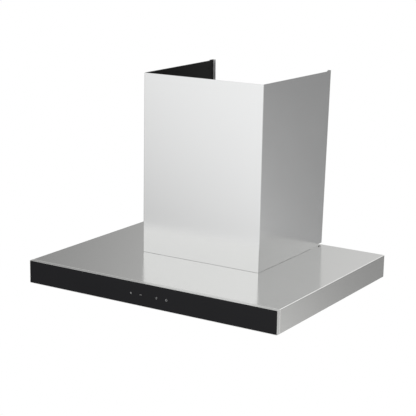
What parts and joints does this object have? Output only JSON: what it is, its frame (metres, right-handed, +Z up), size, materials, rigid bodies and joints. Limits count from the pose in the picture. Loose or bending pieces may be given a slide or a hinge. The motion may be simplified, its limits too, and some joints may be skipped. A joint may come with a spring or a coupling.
{
  "type": "chimney range hood",
  "caption": "Wall-mounted chimney range hood: flat stainless canopy with a black glass touch front, recessed grease filters and lamps, and a box-section chimney cover.",
  "frame": {"origin": "on the wall plane, at the height of the canopy bottom rim, on the centre line of the hood", "axes": "+X to the right of a cook facing the hood, +Y into the wall, +Z up"},
  "size_m": [0.6, 0.482, 0.4425],
  "materials": {
    "stainless_shell": "brushed",
    "stainless_cover": "brushed",
    "fascia_steel": "brushed",
    "black_glass": "polished",
    "foam_tape": "matte",
    "panel_steel": "brushed",
    "galvanised": "spangled zinc",
    "circuit_board": "solder mask",
    "spring_steel": "bright wire",
    "black_plastic": "moulded",
    "filter_aluminium": "satin",
    "filter_mesh": "expanded sheet",
    "latch_plastic": "satin",
    "lamp_metal": "satin",
    "lamp_glass": "frosted",
    "volute_plastic": "moulded",
    "impeller_plastic": "moulded",
    "hub_metal": "turned",
    "shaft_steel": "ground",
    "motor_paint": "satin",
    "lamination_steel": "stacked sheet",
    "bush_rubber": "matte",
    "capacitor_can": "moulded",
    "power_box_plastic": "moulded",
    "gland_plastic": "moulded",
    "lead_insulation": "extruded",
    "screw_steel": "zinc plated"
  },
  "bodies": {
    "housing": {"cable_grommet": "bush_rubber", "canopy_shell": "stainless_shell", "collar_plate": "black_plastic", "collar_screws": "screw_steel", "cord_gland": "gland_plastic", "cover_screws": "screw_steel", "damper_spindle": "shaft_steel", "fascia_frame": "fascia_steel", "fascia_screws": "screw_steel", "front_glass": "black_glass", "glass_tape": "foam_tape", "inlet_ring_left": "volute_plastic", "inlet_ring_right": "volute_plastic", "lamp_boards": "circuit_board", "lamp_housing_left": "lamp_metal", "lamp_housing_right": "lamp_metal", "lamp_leads": "lead_insulation", "lamp_lens_left": "lamp_glass", "lamp_lens_right": "lamp_glass", "lower_chimney_cover": "stainless_cover", "motor_bearings": "shaft_steel", "motor_box": "galvanised", "motor_box_screws": "screw_steel", "motor_bracket": "galvanised", "motor_bushes": "bush_rubber", "motor_case": "motor_paint", "motor_lead": "lead_insulation", "motor_stator": "lamination_steel", "outlet_collar": "black_plastic", "power_board": "circuit_board", "power_box_base": "power_box_plastic", "power_box_lid": "power_box_plastic", "run_capacitor": "capacitor_can", "touch_board": "circuit_board", "touch_board_cover": "black_plastic", "touch_lead": "lead_insulation", "touch_springs": "spring_steel", "underside_panel": "panel_steel", "underside_screws": "screw_steel", "volute_left": "volute_plastic", "volute_right": "volute_plastic"},
    "rotor": {"impeller": "impeller_plastic", "impeller_hub": "hub_metal", "motor_shaft": "shaft_steel", "motor_rotor_core": "lamination_steel"},
    "front_flap": {"damper_flap_front": "black_plastic"},
    "rear_flap": {"damper_flap_rear": "black_plastic"},
    "upper_cover": {"upper_chimney_cover": "stainless_cover"},
    "filter_left": {"filter_frame_left": "filter_aluminium", "filter_faces_left": "filter_mesh", "filter_layers_left": "filter_mesh", "latch_cup_left": "black_plastic", "latch_spring_left": "spring_steel"},
    "latch_left": {"filter_latch_left": "latch_plastic"},
    "filter_right": {"filter_frame_right": "filter_aluminium", "filter_faces_right": "filter_mesh", "filter_layers_right": "filter_mesh", "latch_cup_right": "black_plastic", "latch_spring_right": "spring_steel"},
    "latch_right": {"filter_latch_right": "latch_plastic"}
  },
  "joints": [
    {"name": "impeller_spin", "type": "hinge", "parent": "housing", "child": "rotor", "pos_m": [0, -0.124, 0.163], "axis": [1, 0, 0], "continuous": true},
    {"name": "front_flap_swing", "type": "hinge", "parent": "housing", "child": "front_flap", "pos_m": [0, -0.089, 0.318], "axis": [-1, 0, 0], "range_deg": [0, 75]},
    {"name": "rear_flap_swing", "type": "hinge", "parent": "housing", "child": "rear_flap", "pos_m": [0, -0.089, 0.318], "axis": [1, 0, 0], "range_deg": [0, 75]},
    {"name": "upper_cover_slide", "type": "slide", "parent": "housing", "child": "upper_cover", "axis": [0, 0, 1], "range_m": [0, 0.33]},
    {"name": "filter_left_swing", "type": "hinge", "parent": "housing", "child": "filter_left", "pos_m": [-0.147, -0.022, 0.0053], "axis": [1, 0, 0], "range_deg": [0, 40]},
    {"name": "latch_left_slide", "type": "slide", "parent": "filter_left", "child": "latch_left", "axis": [0, 1, 0], "range_m": [0, 0.005], "stiffness_N_per_m": 150, "springref_m": -0.004, "deforming": ["latch_spring_left"]},
    {"name": "filter_right_swing", "type": "hinge", "parent": "housing", "child": "filter_right", "pos_m": [0.147, -0.022, 0.0053], "axis": [1, 0, 0], "range_deg": [0, 40]},
    {"name": "latch_right_slide", "type": "slide", "parent": "filter_right", "child": "latch_right", "axis": [0, 1, 0], "range_m": [0, 0.005], "stiffness_N_per_m": 150, "springref_m": -0.004, "deforming": ["latch_spring_right"]}
  ]
}
